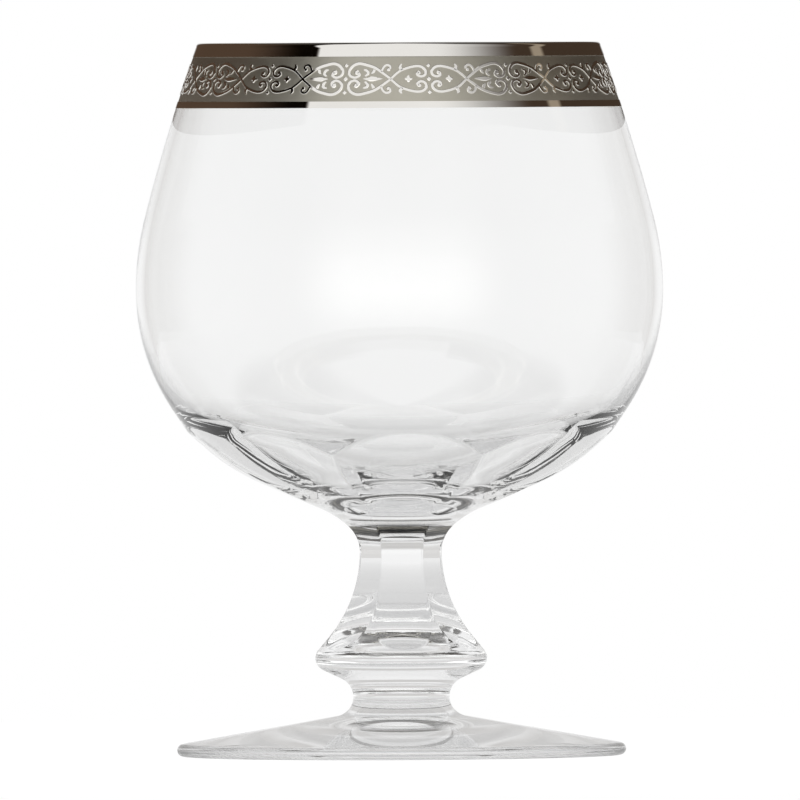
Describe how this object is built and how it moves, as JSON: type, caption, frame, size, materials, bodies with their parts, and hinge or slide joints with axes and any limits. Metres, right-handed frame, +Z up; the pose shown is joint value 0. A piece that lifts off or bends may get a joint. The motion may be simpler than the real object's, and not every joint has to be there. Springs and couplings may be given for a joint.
{
  "type": "brandy snifter",
  "caption": "Footed brandy glass with a wide tapering bowl, panel-cut base, short faceted stem with knop, round foot and an etched platinum band round the mouth.",
  "frame": {"origin": "centre of the foot's resting face, on the table", "axes": "+Z up along the axis of the glass; -Y is the front, where a panel of the bowl and a facet of the stem face the viewer; +X to the viewer's right"},
  "size_m": [0.0924, 0.0924, 0.125],
  "materials": {
    "bowl_glass": "clear blown crystal, fire polished, with cut and polished panels underneath",
    "stem_glass": "clear crystal, cut in facets and polished",
    "foot_glass": "clear crystal, fire polished, ground flat underneath",
    "polished_platinum": "bright fired platinum",
    "etched_platinum": "matt fired platinum over an etched ground"
  },
  "bodies": {
    "root": {"bowl": "bowl_glass", "stem": "stem_glass", "foot": "foot_glass", "lip_band": "polished_platinum", "frieze_band": "etched_platinum", "lower_line": "polished_platinum"}
  },
  "joints": []
}
